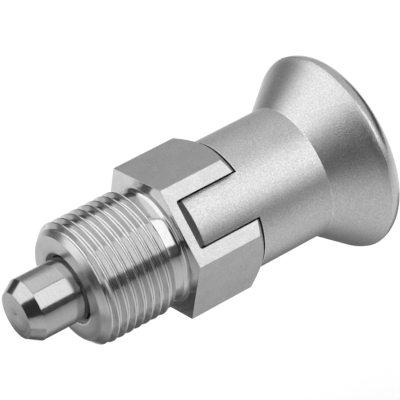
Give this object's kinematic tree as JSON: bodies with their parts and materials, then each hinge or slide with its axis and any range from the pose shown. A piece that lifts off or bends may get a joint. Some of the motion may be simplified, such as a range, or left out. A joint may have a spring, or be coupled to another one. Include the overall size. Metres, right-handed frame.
{
  "type": "indexing plunger",
  "caption": "Threaded hexagonal sleeve with a spring-loaded chamfered locking pin and a flared pull grip whose tongues sit in notches of the hexagon.",
  "frame": {"origin": "centre of the hexagon's front face, which seats on the plate that the sleeve is screwed into", "axes": "+X along the plunger's axis from the locking pin towards the pull grip, +Z out of one flat of the hexagon"},
  "size_m": [0.0606, 0.032, 0.032],
  "materials": {
    "sleeve_steel": "turned and milled",
    "bush_steel": "turned",
    "spring_wire": "drawn wire",
    "pin_steel": "ground and polished",
    "grip_steel": "fine blasted"
  },
  "bodies": {
    "sleeve": {"hex_sleeve": "sleeve_steel", "guide_bush": "bush_steel", "return_spring": "spring_wire"},
    "plunger": {"pull_grip": "grip_steel", "locking_pin": "pin_steel"}
  },
  "joints": [
    {"name": "grip_pull", "type": "slide", "parent": "sleeve", "child": "plunger", "axis": [1, 0, 0], "range_m": [0, 0.01], "stiffness_N_per_m": 2400, "springref_m": -0.0075, "deforming": ["return_spring"]}
  ]
}
